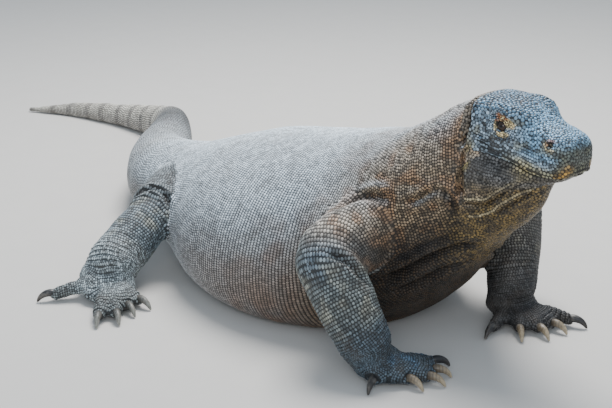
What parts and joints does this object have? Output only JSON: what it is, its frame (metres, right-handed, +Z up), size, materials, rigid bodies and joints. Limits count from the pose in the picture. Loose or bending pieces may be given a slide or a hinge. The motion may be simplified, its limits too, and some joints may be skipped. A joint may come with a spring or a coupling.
{
  "type": "komodo dragon",
  "caption": "Life-size komodo dragon lying on a full belly with its head raised, its legs splayed and its tail swept round on the floor; a still display model.",
  "frame": {"origin": "on the floor under the middle of the belly", "axes": "+X the way the trunk and the snout point, +Y the animal's left, +Z up"},
  "size_m": [2.2197, 1.0475, 0.5137],
  "materials": {
    "body_skin": "dull grey-brown hide of small bead-like scales",
    "head_skin": "slate grey hide of fine scales",
    "leg_skin": "dark slate hide of bead-like scales",
    "tail_skin": "tan-grey hide of ringed scales",
    "horn": "dusty horn",
    "eye": "wet, glossy"
  },
  "bodies": {
    "root": {"tail_tip": "tail_skin", "tail_middle": "tail_skin", "tail_base": "tail_skin", "trunk": "body_skin", "neck": "body_skin", "head": "head_skin", "lower_jaw": "head_skin", "eye_right": "eye", "eye_left": "eye", "right_foreclaw_1": "horn", "right_foreclaw_2": "horn", "right_foreclaw_3": "horn", "right_foreclaw_4": "horn", "right_foreclaw_5": "horn", "right_upper_arm": "leg_skin", "right_forearm": "leg_skin", "right_forefoot": "leg_skin", "left_foreclaw_1": "horn", "left_foreclaw_2": "horn", "left_foreclaw_3": "horn", "left_foreclaw_4": "horn", "left_foreclaw_5": "horn", "left_upper_arm": "leg_skin", "left_forearm": "leg_skin", "left_forefoot": "leg_skin", "right_hindclaw_1": "horn", "right_hindclaw_2": "horn", "right_hindclaw_3": "horn", "right_hindclaw_4": "horn", "right_hindclaw_5": "horn", "right_thigh": "leg_skin", "right_shank": "leg_skin", "right_hindfoot": "leg_skin", "left_hindclaw_1": "horn", "left_hindclaw_2": "horn", "left_hindclaw_3": "horn", "left_hindclaw_4": "horn", "left_hindclaw_5": "horn", "left_thigh": "leg_skin", "left_shank": "leg_skin", "left_hindfoot": "leg_skin"}
  },
  "joints": []
}
